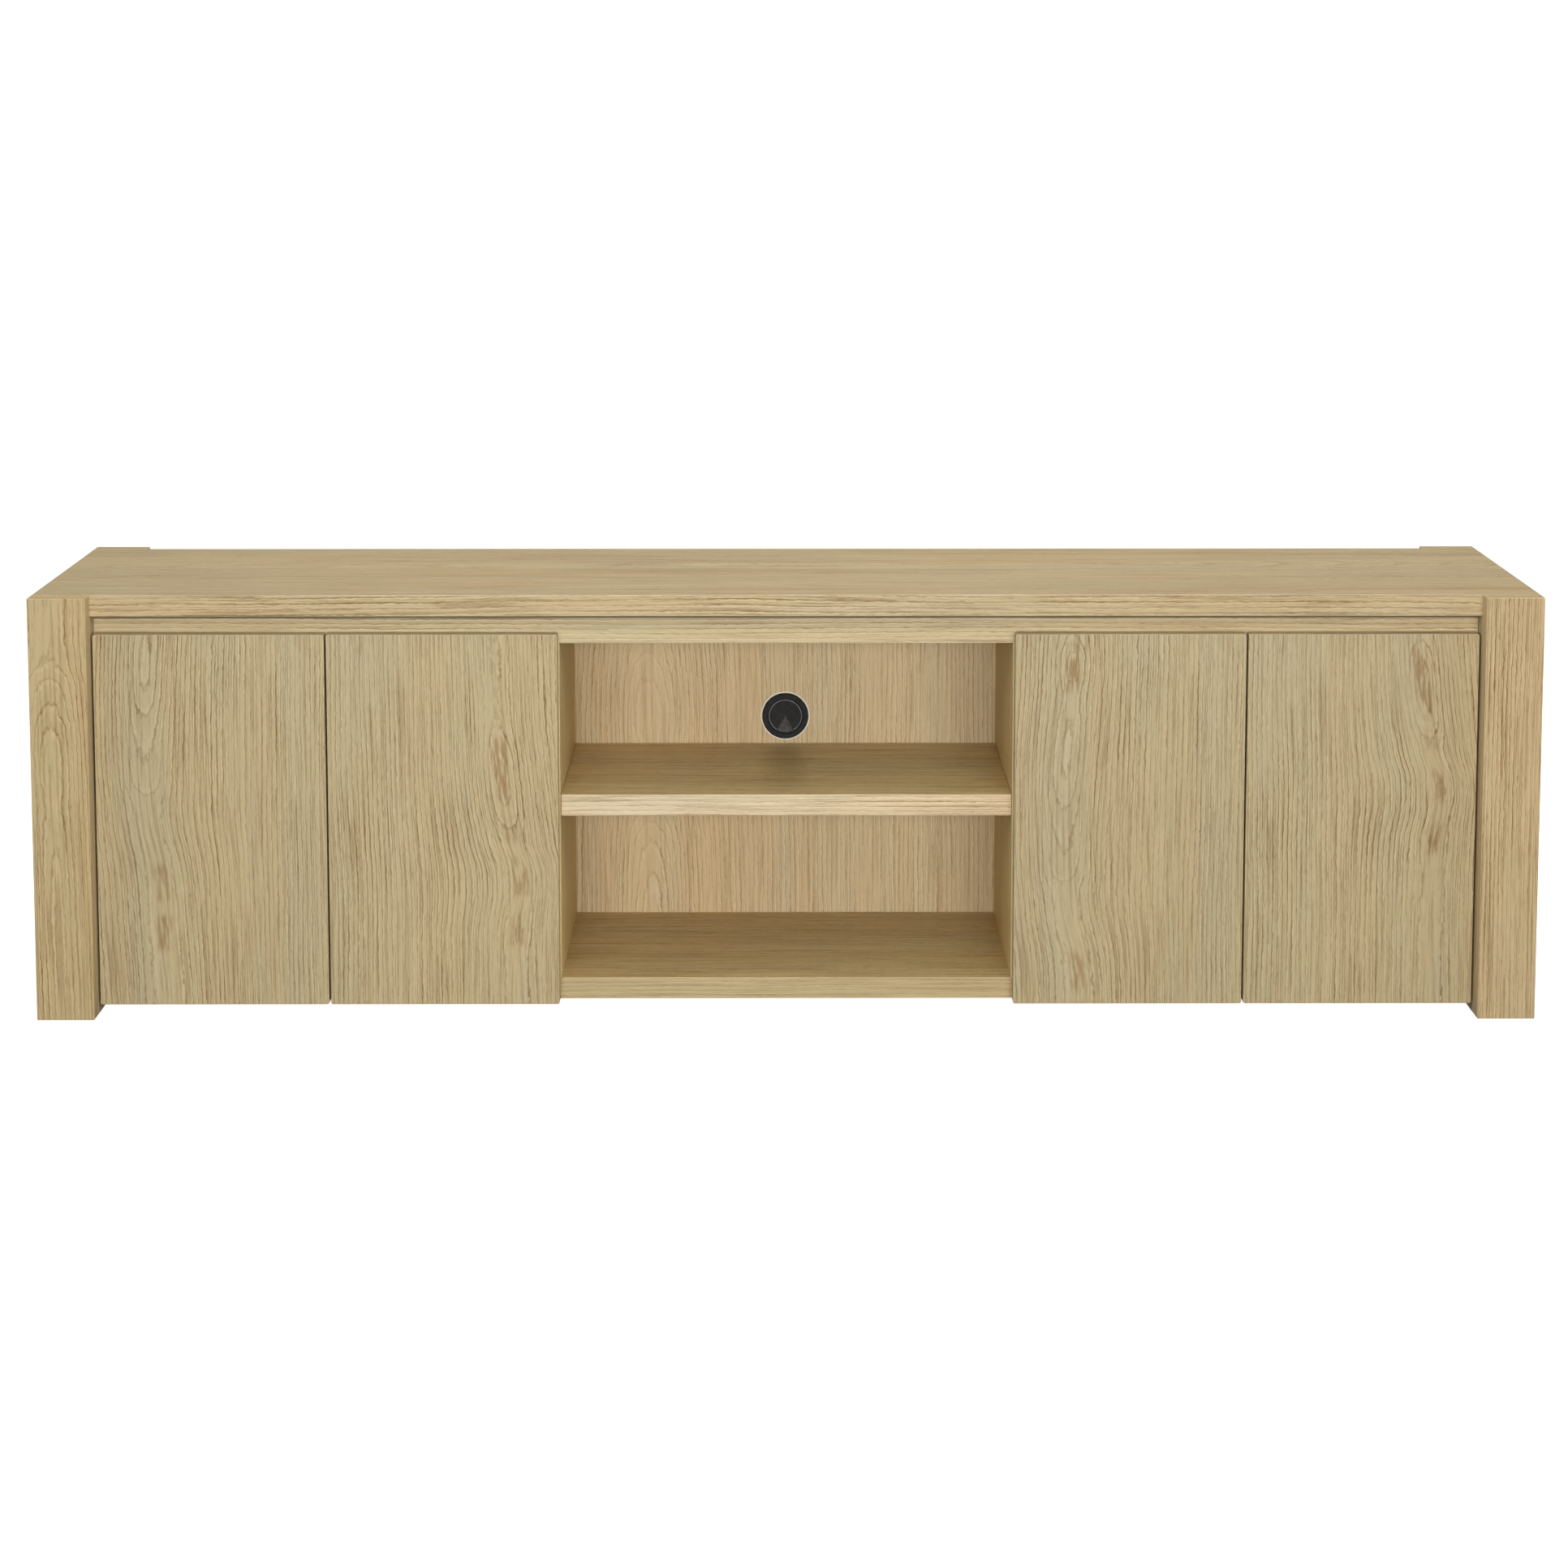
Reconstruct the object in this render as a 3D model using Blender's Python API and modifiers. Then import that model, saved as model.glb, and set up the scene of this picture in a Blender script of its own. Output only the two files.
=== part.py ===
"""Media cabinet: a low oak-veneered console with two pairs of doors either side of an open bay.

Metres, +Z up. The origin is on the floor, in the middle of the footprint, and the doors face -Y.
"""

import math

import bmesh
import bpy
from mathutils import Matrix, Vector

# Overall size
WIDTH = 1.800
DEPTH = 0.395
HEIGHT = 0.513

# Boards
BOARD = 0.018
THICK_BOARD = 0.026
BACK_BOARD = 0.006
SIDE_WIDTH = 0.069
FIT_GAP = 0.0003
EDGE_EASE = 0.0008

# Depths behind the front of the posts
TOP_FRONT = 0.024
CARCASS_FRONT = 0.044
SHELF_FRONT = 0.050
BACK_FRONT = 0.337
REAR_POST_FRONT = DEPTH - BOARD

# Heights
TOP_UNDERSIDE = HEIGHT - THICK_BOARD
RAIL_HEIGHT = 0.036
RAIL_UNDERSIDE = TOP_UNDERSIDE - RAIL_HEIGHT
BOTTOM_UNDERSIDE = 0.013
BOTTOM_TOP = BOTTOM_UNDERSIDE + THICK_BOARD
CENTER_SHELF_TOP = 0.264
SIDE_SHELF_TOP = 0.258

# Across
SIDE_INNER = WIDTH / 2 - SIDE_WIDTH
BAY_HALF = 0.2725
DIVIDER_OUTER = BAY_HALF + BOARD

# Doors
DOOR_FRONT = TOP_FRONT
DOOR_BOTTOM = 0.012
DOOR_TOP = 0.465
POST_CLEARANCE = 0.0025
BAY_REVEAL = 0.0015
MEETING_GAP = 0.0022
CORNER_ROUND = 0.0025
OUTER_EDGE = SIDE_INNER - POST_CLEARANCE
INNER_EDGE = BAY_HALF + BAY_REVEAL
DOOR_WIDTH = (OUTER_EDGE - INNER_EDGE - MEETING_GAP) / 2

# Concealed hinges, from the door's hinged edge (across) and from its front face (deep)
HINGE_FROM_END = 0.080
CUP_ACROSS = 0.0225
CUP_RADIUS = 0.0175
CUP_DEPTH = 0.0115
CUP_WALL = 0.0015
CUP_SIDES = 28
FLANGE_RADIUS = 0.0195
FLANGE_THICKNESS = 0.0012
WING_HALF_LENGTH = 0.031
WING_HALF_WIDTH = 0.0075
PIVOT_ACROSS = 0.012
PIVOT_DEEP = 0.015
LINK_ACROSS = 0.024
LINK_TAIL_DEEP = 0.062
LINK_THICKNESS = 0.002
LINK_HALF_HEIGHT = 0.006
KNUCKLE_RADIUS = 0.003
ARM_BASE_ACROSS = 0.0186
ARM_LIP_ACROSS = 0.0340
ARM_BASE_THICKNESS = 0.0016
ARM_WALL = 0.0014
ARM_HALF_HEIGHT = 0.0085
ARM_FRONT_DEEP = 0.022
ARM_BACK_DEEP = 0.066
PLATE_THICKNESS = 0.002
PLATE_HALF_LENGTH = 0.024
PLATE_FRONT_DEEP = 0.050
PLATE_BACK_DEEP = 0.064
RISER_FRONT_DEEP = 0.040

# Adjustable shelves and their pins
SHELF_SIDE_GAP = 0.0010
SIDE_SHELF_FRONT = 0.062
SIDE_SHELF_BACK = 0.330
PIN_RADIUS = 0.0025
PIN_HOLE_RADIUS = 0.0029
PIN_LENGTH = 0.016
PIN_HOLE_DEPTH = 0.0085
PIN_HOLE_PITCH = 0.032
PIN_SIDES = 12
PIN_ROWS = (0.105, 0.290)

# Cable grommet
GROMMET_HEIGHT = 0.300
GROMMET_FLANGE_RADIUS = 0.030
GROMMET_FLANGE = 0.0025
GROMMET_SLEEVE_RADIUS = 0.0265
GROMMET_BORE_RADIUS = 0.0235
GROMMET_HOLE_RADIUS = 0.0270
GROMMET_LENGTH = 0.016
CAP_RADIUS = 0.0230
CAP_THICKNESS = 0.0035
CAP_SETBACK = 0.0008
NOTCH_HALF_ANGLE = math.radians(30)
NOTCH_REACH = 0.060
ROUND_SIDES = 48

# Support feet
FOOT_RADIUS = 0.016
FOOT_NECK_RADIUS = 0.009
FOOT_PAD = 0.006
FOOT_DEPTH_BEHIND_FRONT = 0.150

EDGE_ANGLE = math.radians(40)
OVERSHOOT = 0.002
MERGE = 0.00001


def deep(distance):
    """World Y of a plane that lies this far behind the front of the posts."""
    return distance - DEPTH / 2


def clear_scene():
    for old in list(bpy.data.objects):
        bpy.data.objects.remove(old, do_unlink=True)


def new_collection(name):
    collection = bpy.data.collections.new(name)
    bpy.context.scene.collection.children.link(collection)
    return collection


def new_material(name, colour, roughness, metallic):
    material = bpy.data.materials.new(name)
    material.use_nodes = True
    shader = material.node_tree.nodes["Principled BSDF"]
    shader.inputs["Base Color"].default_value = (*colour, 1.0)
    shader.inputs["Roughness"].default_value = roughness
    shader.inputs["Metallic"].default_value = metallic
    return material


clear_scene()
PARTS = new_collection("media_cabinet")
CUTTERS = new_collection("media_cabinet_cutters")


def oak(name, tint=1.0):
    """A veneer material of its own for one board, lighter or darker than the common oak."""
    return new_material(f"{name}_veneer", (0.52 * tint, 0.41 * tint, 0.24 * tint), 0.55, 0.0)


def plated_steel(name):
    return new_material(f"{name}_plating", (0.66, 0.66, 0.67), 0.28, 1.0)


def black_plastic(name):
    return new_material(f"{name}_plastic", (0.012, 0.012, 0.013), 0.42, 0.0)


def add_object(name, mesh, location, material=None, parent=None):
    """Links a mesh object at a world location, under a parent empty if there is one."""
    obj = bpy.data.objects.new(name, mesh)
    PARTS.objects.link(obj)
    attach(obj, location, parent)
    if material:
        mesh.materials.append(material)
    return obj


def world_place(obj):
    """Where an unrotated object stands, through all of its parents."""
    place = Vector()
    while obj:
        place += obj.location
        obj = obj.parent
    return place


def attach(obj, location, parent):
    obj.location = Vector(location)
    if parent:
        obj.parent = parent
        obj.location = Vector(location) - world_place(parent)


def as_cutter(obj):
    """Moves an object to the cutters, where it is drawn as wire and never built."""
    PARTS.objects.unlink(obj)
    CUTTERS.objects.link(obj)
    obj.hide_render = True
    obj.display_type = "WIRE"
    return obj


def box_mesh(name, size, corner=0.0):
    """A box about its own centre. corner rounds the four edges that run front to back."""
    mesh = bpy.data.meshes.new(name)
    shape = bmesh.new()
    bmesh.ops.create_cube(shape, size=1.0)
    bmesh.ops.scale(shape, vec=Vector(size), verts=shape.verts)
    if corner:
        ends = [edge.verts[1].co - edge.verts[0].co for edge in shape.edges]
        deep_edges = [edge for edge, run in zip(shape.edges, ends) if abs(run.y) > MERGE]
        bmesh.ops.bevel(
            shape,
            geom=deep_edges,
            offset=corner,
            segments=3,
            profile=0.5,
            affect="EDGES",
        )
    shape.to_mesh(mesh)
    shape.free()
    return mesh


def box(name, low, high, material=None, parent=None, ease=0.0, corner=0.0):
    """A board between two opposite corners, with its long edges eased if asked."""
    low = Vector(low)
    high = Vector(high)
    mesh = box_mesh(name, high - low, corner)
    obj = add_object(name, mesh, (low + high) / 2, material, parent)
    if ease:
        bevel = obj.modifiers.new("eased_edges", "BEVEL")
        bevel.width = ease
        bevel.segments = 2
        bevel.limit_method = "ANGLE"
        bevel.angle_limit = EDGE_ANGLE
    return obj


def round_bar(name, radius, low, high, centre, axis, sides, material=None, parent=None):
    """A cylinder along X, Y or Z from low to high on that axis; centre gives the other two."""
    mesh = bpy.data.meshes.new(name)
    shape = bmesh.new()
    bmesh.ops.create_cone(
        shape,
        cap_ends=True,
        segments=sides,
        radius1=radius,
        radius2=radius,
        depth=high - low,
    )
    turn = {
        "X": Matrix.Rotation(math.radians(90), 4, "Y"),
        "Y": Matrix.Rotation(math.radians(90), 4, "X"),
        "Z": Matrix.Identity(4),
    }[axis]
    bmesh.ops.transform(shape, matrix=turn, verts=shape.verts)
    shape.to_mesh(mesh)
    shape.free()
    mesh.shade_smooth()
    mesh.set_sharp_from_angle(angle=EDGE_ANGLE)
    middle = Vector(centre)
    middle["XYZ".index(axis)] = (low + high) / 2
    return add_object(name, mesh, middle, material, parent)


def boolean(obj, other, operation):
    """Cuts the other object out of this one, or joins it on."""
    step = obj.modifiers.new(f"{operation.lower()}_{other.name}", "BOOLEAN")
    step.operation = operation
    step.solver = "EXACT"
    step.object = other


def cut(obj, cutter):
    boolean(obj, as_cutter(cutter), "DIFFERENCE")


def join(obj, other):
    boolean(obj, as_cutter(other), "UNION")


def turned(name, profile, location, material, lies_along_y=False):
    """A solid of revolution: the profile's (radius, height) points run down its outer side."""
    mesh = bpy.data.meshes.new(name)
    points = [(radius, 0.0, height) for radius, height in profile]
    edges = [(index, index + 1) for index in range(len(points) - 1)]
    mesh.from_pydata(points, edges, [])
    obj = add_object(name, mesh, location, material)
    screw = obj.modifiers.new("turned", "SCREW")
    screw.axis = "Z"
    screw.steps = ROUND_SIDES
    screw.render_steps = ROUND_SIDES
    screw.use_merge_vertices = True
    screw.merge_threshold = MERGE
    screw.use_smooth_shade = False
    if lies_along_y:
        obj.rotation_euler = (math.radians(90), 0.0, 0.0)
    return obj


def mirrored(low_x, high_x, hand):
    """The X range of a piece on the left (hand -1) or right (hand +1) from its distances."""
    return sorted((hand * low_x, hand * high_x))


def build_side(side, hand):
    """One boxed side: post strips in front and behind, and two panels between them."""
    outer = WIDTH / 2
    across = mirrored(SIDE_INNER, outer, hand)
    for where, start, end in (
        ("front", 0.0, TOP_FRONT),
        ("rear", REAR_POST_FRONT, DEPTH),
    ):
        name = f"{side}_{where}_post"
        box(
            name,
            (across[0], deep(start), 0.0),
            (across[1], deep(end), HEIGHT),
            oak(name),
            ease=EDGE_EASE,
        )
    panels = {}
    for where, near, far in (
        ("outer", outer - BOARD, outer),
        ("inner", SIDE_INNER, SIDE_INNER + BOARD),
    ):
        name = f"{side}_{where}_panel"
        low_x, high_x = mirrored(near, far, hand)
        panels[where] = box(
            name,
            (low_x, deep(TOP_FRONT + FIT_GAP), 0.0),
            (high_x, deep(REAR_POST_FRONT - FIT_GAP), TOP_UNDERSIDE - FIT_GAP),
            oak(name),
            ease=EDGE_EASE / 2,
        )
    return panels["inner"]


def build_top():
    box(
        "top_panel",
        (-WIDTH / 2, deep(TOP_FRONT + FIT_GAP), TOP_UNDERSIDE),
        (WIDTH / 2, deep(REAR_POST_FRONT - FIT_GAP), HEIGHT),
        oak("top_panel", 0.95),
        ease=EDGE_EASE,
    )
    box(
        "top_rail",
        (FIT_GAP - SIDE_INNER, deep(CARCASS_FRONT), RAIL_UNDERSIDE),
        (SIDE_INNER - FIT_GAP, deep(CARCASS_FRONT + BOARD), TOP_UNDERSIDE - FIT_GAP),
        oak("top_rail", 0.96),
        ease=EDGE_EASE / 2,
    )


def build_bottom():
    box(
        "bottom_panel",
        (FIT_GAP - SIDE_INNER, deep(CARCASS_FRONT), BOTTOM_UNDERSIDE),
        (SIDE_INNER - FIT_GAP, deep(BACK_FRONT - FIT_GAP), BOTTOM_TOP),
        oak("bottom_panel"),
        ease=EDGE_EASE,
    )


def build_divider(side, hand):
    """A divider, notched at its top front corner round the rail."""
    name = f"{side}_divider"
    low_x, high_x = mirrored(BAY_HALF, DIVIDER_OUTER, hand)
    divider = box(
        name,
        (low_x, deep(CARCASS_FRONT), BOTTOM_TOP + FIT_GAP),
        (high_x, deep(BACK_FRONT - FIT_GAP), TOP_UNDERSIDE - FIT_GAP),
        oak(name, 0.96),
    )
    cut(
        divider,
        box(
            f"{side}_rail_notch",
            (low_x - OVERSHOOT, deep(CARCASS_FRONT) - OVERSHOOT, RAIL_UNDERSIDE - FIT_GAP),
            (high_x + OVERSHOOT, deep(CARCASS_FRONT + BOARD + FIT_GAP), HEIGHT),
        ),
    )
    return divider


def build_backs():
    seam = BAY_HALF + BOARD / 2
    spans = {
        "left": (FIT_GAP - SIDE_INNER, -seam - FIT_GAP / 2),
        "center": (-seam + FIT_GAP / 2, seam - FIT_GAP / 2),
        "right": (seam + FIT_GAP / 2, SIDE_INNER - FIT_GAP),
    }
    backs = {}
    for where, (low_x, high_x) in spans.items():
        name = f"{where}_back_panel"
        backs[where] = box(
            name,
            (low_x, deep(BACK_FRONT), BOTTOM_UNDERSIDE),
            (high_x, deep(BACK_FRONT + BACK_BOARD), TOP_UNDERSIDE - FIT_GAP),
            oak(name),
        )
    cut(
        backs["center"],
        round_bar(
            "grommet_hole",
            GROMMET_HOLE_RADIUS,
            deep(BACK_FRONT) - OVERSHOOT,
            deep(BACK_FRONT + BACK_BOARD) + OVERSHOOT,
            (0.0, 0.0, GROMMET_HEIGHT),
            "Y",
            ROUND_SIDES,
        ),
    )


def build_grommet():
    """A flanged ring through the back panel, and a notched cap that turns inside it."""
    face = deep(BACK_FRONT - FIT_GAP)
    rim_round = 0.0008
    lip = 0.0012
    rest = GROMMET_FLANGE - CAP_SETBACK - CAP_THICKNESS
    turned(
        "grommet_ring",
        [
            (GROMMET_BORE_RADIUS, GROMMET_FLANGE),
            (GROMMET_FLANGE_RADIUS - rim_round, GROMMET_FLANGE),
            (GROMMET_FLANGE_RADIUS, GROMMET_FLANGE - rim_round),
            (GROMMET_FLANGE_RADIUS, 0.0),
            (GROMMET_SLEEVE_RADIUS, 0.0),
            (GROMMET_SLEEVE_RADIUS, -GROMMET_LENGTH),
            (GROMMET_BORE_RADIUS - lip, -GROMMET_LENGTH),
            (GROMMET_BORE_RADIUS - lip, rest - FIT_GAP),
            (GROMMET_BORE_RADIUS, rest - FIT_GAP),
            (GROMMET_BORE_RADIUS, GROMMET_FLANGE),
        ],
        (0.0, face, GROMMET_HEIGHT),
        black_plastic("grommet_ring"),
        lies_along_y=True,
    )
    front = face - GROMMET_FLANGE + CAP_SETBACK
    cap = round_bar(
        "grommet_cap",
        CAP_RADIUS,
        front,
        front + CAP_THICKNESS,
        (0.0, 0.0, GROMMET_HEIGHT),
        "Y",
        ROUND_SIDES,
        black_plastic("grommet_cap"),
    )
    cut(cap, notch_wedge(front))


def notch_wedge(front):
    """A three-sided prism whose sharp edge is the cap's axis and which widens downwards."""
    half_width = NOTCH_REACH * math.tan(NOTCH_HALF_ANGLE)
    outline = bpy.data.curves.new("grommet_notch", "CURVE")
    outline.dimensions = "2D"
    outline.fill_mode = "BOTH"
    outline.extrude = CAP_THICKNESS / 2 + OVERSHOOT
    spline = outline.splines.new("POLY")
    corners = [(0.0, 0.0), (-half_width, -NOTCH_REACH), (half_width, -NOTCH_REACH)]
    spline.points.add(len(corners) - 1)
    for point, (across, up) in zip(spline.points, corners):
        point.co = (across, up, 0.0, 1.0)
    spline.use_cyclic_u = True
    guide = bpy.data.objects.new("grommet_notch", outline)
    PARTS.objects.link(guide)
    guide.rotation_euler = (math.radians(90), 0.0, 0.0)
    guide.location = (0.0, front + CAP_THICKNESS / 2, GROMMET_HEIGHT)
    return curve_to_mesh(guide)


def curve_to_mesh(guide):
    """Replaces a curve object by a mesh object with its caps welded on."""
    name = guide.name
    bpy.context.view_layer.update()
    graph = bpy.context.evaluated_depsgraph_get()
    mesh = bpy.data.meshes.new_from_object(guide.evaluated_get(graph))
    shape = bmesh.new()
    shape.from_mesh(mesh)
    bmesh.ops.remove_doubles(shape, verts=shape.verts, dist=MERGE)
    bmesh.ops.recalc_face_normals(shape, faces=shape.faces)
    shape.to_mesh(mesh)
    shape.free()
    place = guide.matrix_world.copy()
    bpy.data.objects.remove(guide, do_unlink=True)
    solid = bpy.data.objects.new(name, mesh)
    PARTS.objects.link(solid)
    solid.matrix_world = place
    return solid


def build_shelves(pin_boards):
    box(
        "center_shelf",
        (FIT_GAP - BAY_HALF, deep(SHELF_FRONT), CENTER_SHELF_TOP - THICK_BOARD),
        (BAY_HALF - FIT_GAP, deep(BACK_FRONT - FIT_GAP), CENTER_SHELF_TOP),
        oak("center_shelf", 1.05),
        ease=EDGE_EASE,
    )
    for side, hand in (("left", -1), ("right", 1)):
        low_x, high_x = mirrored(DIVIDER_OUTER + SHELF_SIDE_GAP, SIDE_INNER - SHELF_SIDE_GAP, hand)
        name = f"{side}_shelf"
        box(
            name,
            (low_x, deep(SIDE_SHELF_FRONT), SIDE_SHELF_TOP - BOARD),
            (high_x, deep(SIDE_SHELF_BACK), SIDE_SHELF_TOP),
            oak(name),
            ease=EDGE_EASE,
        )
        build_pins(side, hand, pin_boards[side])


def build_pins(side, hand, boards):
    """Four pins in bored holes, with a spare hole above and below each one."""
    pin_height = SIDE_SHELF_TOP - BOARD - PIN_RADIUS - FIT_GAP
    for where, board, face, outward in (
        ("outer", boards["inner_panel"], SIDE_INNER, 1),
        ("inner", boards["divider"], DIVIDER_OUTER, -1),
    ):
        for row, row_depth in zip(("front", "rear"), PIN_ROWS):
            name = f"{side}_{where}_{row}_shelf_pin"
            buried = face + outward * (PIN_HOLE_DEPTH - FIT_GAP)
            low_x, high_x = mirrored(buried - outward * PIN_LENGTH, buried, hand)
            centre = (0.0, deep(row_depth), pin_height)
            material = plated_steel(name)
            round_bar(name, PIN_RADIUS, low_x, high_x, centre, "X", PIN_SIDES, material)
            for step in (-1, 0, 1):
                hole_ends = mirrored(
                    face + outward * PIN_HOLE_DEPTH, face - outward * OVERSHOOT, hand
                )
                hole_centre = (0.0, deep(row_depth), pin_height + step * PIN_HOLE_PITCH)
                hole = round_bar(
                    f"{name}_hole_{step + 2}",
                    PIN_HOLE_RADIUS,
                    *hole_ends,
                    hole_centre,
                    "X",
                    PIN_SIDES,
                )
                cut(board, hole)


def build_feet():
    """Two turned feet that carry the long bottom panel below the dividers."""
    for side, hand in (("left", -1), ("right", 1)):
        name = f"{side}_support_foot"
        top = BOTTOM_UNDERSIDE - FIT_GAP
        turned(
            name,
            [
                (0.0, top),
                (FOOT_NECK_RADIUS, top),
                (FOOT_NECK_RADIUS, FOOT_PAD),
                (FOOT_RADIUS - EDGE_EASE, FOOT_PAD),
                (FOOT_RADIUS, FOOT_PAD - EDGE_EASE),
                (FOOT_RADIUS, 0.0),
                (0.0, 0.0),
            ],
            (hand * (BAY_HALF + BOARD / 2), deep(FOOT_DEPTH_BEHIND_FRONT), 0.0),
            black_plastic(name),
        )


class Door:
    """One door and its hinges. inward is +1 where the door reaches towards +X from its hinges."""

    def __init__(self, name, edge_x, inward, face_across):
        self.name = name
        self.edge_x = edge_x
        self.inward = inward
        self.face_across = face_across
        self.axis = bpy.data.objects.new(f"{name}_hinge_axis", None)
        self.axis.location = (edge_x, deep(DOOR_FRONT), 0.0)
        PARTS.objects.link(self.axis)

    def x(self, across):
        return self.edge_x + self.inward * across

    def box(self, name, across, depth, height, material=None, parent=None, **edges):
        """A box from ranges across the door, behind its front face, and in height."""
        low_x, high_x = sorted((self.x(across[0]), self.x(across[1])))
        front = deep(DOOR_FRONT)
        return box(
            name,
            (low_x, front + depth[0], height[0]),
            (high_x, front + depth[1], height[1]),
            material,
            parent,
            **edges,
        )

    def bar(self, name, radius, depth, height, sides, material=None):
        """A cylinder through the door's thickness, on the hinge cup's centre."""
        front = deep(DOOR_FRONT)
        return round_bar(
            name,
            radius,
            front + depth[0],
            front + depth[1],
            (self.x(CUP_ACROSS), 0.0, height),
            "Y",
            sides,
            material,
            self.axis,
        )

    def build(self):
        panel = self.box(
            self.name,
            (0.0, DOOR_WIDTH),
            (0.0, BOARD),
            (DOOR_BOTTOM, DOOR_TOP),
            oak(self.name),
            self.axis,
            ease=EDGE_EASE,
            corner=CORNER_ROUND,
        )
        pivot = bpy.data.objects.new(f"{self.name}_link_axis", None)
        pivot.location = (self.inward * PIVOT_ACROSS, PIVOT_DEEP, 0.0)
        pivot.parent = self.axis
        PARTS.objects.link(pivot)
        for level, height in (
            ("lower", DOOR_BOTTOM + HINGE_FROM_END),
            ("upper", DOOR_TOP - HINGE_FROM_END),
        ):
            prefix = f"{self.name}_{level}_hinge"
            self.build_cup(prefix, height, panel)
            self.build_link(prefix, height, pivot)
            self.build_arm(prefix, height)

    def build_cup(self, prefix, height, panel):
        """A pressed cup sunk in the door's back, with a screw flange over the bore."""
        cup_back = BOARD + FIT_GAP
        cup_front = BOARD - CUP_DEPTH
        flange = (cup_back, cup_back + FLANGE_THICKNESS)
        name = f"{prefix}_cup"
        shell = (cup_front, flange[1])
        cup = self.bar(name, CUP_RADIUS, shell, height, CUP_SIDES, plated_steel(name))
        join(cup, self.bar(f"{prefix}_flange", FLANGE_RADIUS, flange, height, CUP_SIDES))
        wings = self.box(
            f"{prefix}_wings",
            (CUP_ACROSS - WING_HALF_WIDTH, CUP_ACROSS + WING_HALF_WIDTH),
            flange,
            (height - WING_HALF_LENGTH, height + WING_HALF_LENGTH),
            parent=self.axis,
        )
        join(cup, wings)
        hollow = (cup_front + CUP_WALL, flange[1] + OVERSHOOT)
        inside = CUP_RADIUS - CUP_WALL
        cut(cup, self.bar(f"{prefix}_hollow", inside, hollow, height, CUP_SIDES))
        bore = (cup_front - FIT_GAP, BOARD + OVERSHOOT)
        cut(panel, self.bar(f"{prefix}_bore", CUP_RADIUS + FIT_GAP, bore, height, CUP_SIDES))

    def build_link(self, prefix, height, pivot):
        """A bent steel strip with a knuckle on the cup's pivot and a tail that runs into the arm."""
        half = LINK_THICKNESS / 2
        name = f"{prefix}_link"
        levels = (height - LINK_HALF_HEIGHT, height + LINK_HALF_HEIGHT)
        tail = self.box(
            name,
            (LINK_ACROSS - half, LINK_ACROSS + half),
            (PIVOT_DEEP - half, LINK_TAIL_DEEP),
            levels,
            plated_steel(name),
            pivot,
        )
        neck = self.box(
            f"{name}_neck",
            (PIVOT_ACROSS, LINK_ACROSS),
            (PIVOT_DEEP - half, PIVOT_DEEP + half),
            levels,
            parent=pivot,
        )
        front = deep(DOOR_FRONT)
        knuckle = round_bar(
            f"{name}_knuckle",
            KNUCKLE_RADIUS,
            *levels,
            (self.x(PIVOT_ACROSS), front + PIVOT_DEEP, 0.0),
            "Z",
            PIN_SIDES,
            parent=pivot,
        )
        join(tail, neck)
        join(tail, knuckle)

    def build_arm(self, prefix, height):
        """The arm: an open channel on a mounting plate, raised on a riser over an inset side."""
        name = f"{prefix}_arm"
        depth = (ARM_FRONT_DEEP, ARM_BACK_DEEP)
        levels = (height - ARM_HALF_HEIGHT, height + ARM_HALF_HEIGHT)
        channel = self.box(
            name, (ARM_BASE_ACROSS, ARM_LIP_ACROSS), depth, levels, plated_steel(name)
        )
        base = ARM_BASE_ACROSS + ARM_BASE_THICKNESS
        hollow = self.box(
            f"{name}_hollow",
            (base, ARM_LIP_ACROSS + OVERSHOOT),
            (ARM_FRONT_DEEP - OVERSHOOT, ARM_BACK_DEEP + OVERSHOOT),
            (levels[0] + ARM_WALL, levels[1] - ARM_WALL),
        )
        cut(channel, hollow)
        foot = self.face_across + FIT_GAP
        sunk = ARM_BASE_THICKNESS / 2
        plate = self.box(
            f"{name}_plate",
            (foot, foot + PLATE_THICKNESS),
            (PLATE_FRONT_DEEP, PLATE_BACK_DEEP),
            (height - PLATE_HALF_LENGTH, height + PLATE_HALF_LENGTH),
        )
        join(channel, plate)
        riser_inset = 0.0005
        riser = self.box(
            f"{name}_riser",
            (foot + sunk, ARM_BASE_ACROSS + sunk),
            (RISER_FRONT_DEEP, ARM_BACK_DEEP - riser_inset),
            (levels[0] + riser_inset, levels[1] - riser_inset),
        )
        join(channel, riser)


def build_doors():
    on_side = -POST_CLEARANCE
    on_divider = DIVIDER_OUTER - INNER_EDGE
    for door in (
        Door("left_outer_door", -OUTER_EDGE, 1, on_side),
        Door("left_inner_door", -INNER_EDGE, -1, on_divider),
        Door("right_inner_door", INNER_EDGE, 1, on_divider),
        Door("right_outer_door", OUTER_EDGE, -1, on_side),
    ):
        door.build()


def main():
    pin_boards = {}
    for side, hand in (("left", -1), ("right", 1)):
        pin_boards[side] = {
            "inner_panel": build_side(side, hand),
            "divider": build_divider(side, hand),
        }
    build_top()
    build_bottom()
    build_backs()
    build_grommet()
    build_shelves(pin_boards)
    build_feet()
    build_doors()


main()
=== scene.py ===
import math
import random

import bmesh
import bpy
from mathutils import Matrix, Vector


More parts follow.
